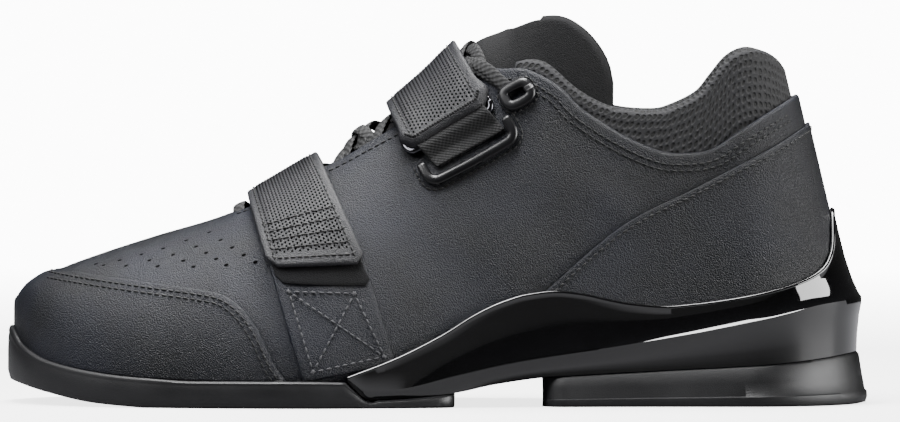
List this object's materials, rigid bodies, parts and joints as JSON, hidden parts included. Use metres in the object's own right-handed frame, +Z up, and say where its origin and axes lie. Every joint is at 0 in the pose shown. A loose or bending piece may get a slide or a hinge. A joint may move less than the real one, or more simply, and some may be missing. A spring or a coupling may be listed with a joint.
{
  "type": "weightlifting shoe",
  "caption": "Low-cut lifting shoe with a raised rigid heel, laced throat, and two hook-and-loop straps over forefoot and instep.",
  "frame": {"origin": "on the floor under the middle of the shoe's length, on the line through the middle of the heel; it lies on the forefoot sole's flat underside", "axes": "+X from toe to heel, +Y to the medial (inner) side, +Z up"},
  "size_m": [0.301, 0.1112, 0.137],
  "materials": {
    "leather": "satin grain",
    "strap": "embossed, satin",
    "webbing": "woven, matte",
    "mesh": "open spacer mesh, matte",
    "suede": "napped, matte",
    "insole": "matte",
    "rubber": "satin",
    "gloss": "high gloss",
    "moulding": "satin",
    "ring": "dark polished"
  },
  "bodies": {
    "root": {"upper": "leather", "toe_cap": "leather", "counter": "leather", "strap_base": "leather", "strap_forefoot": "strap", "strap_instep": "strap", "ring_tab": "webbing", "lace": "webbing", "strap_ring": "ring", "slot_frame": "moulding", "eyelet_lateral": "moulding", "eyelet_medial": "moulding", "collar": "mesh", "tongue": "suede", "insole": "insole", "outsole_forefoot": "rubber", "outsole_heel": "rubber", "heel_cup": "gloss"}
  },
  "joints": []
}
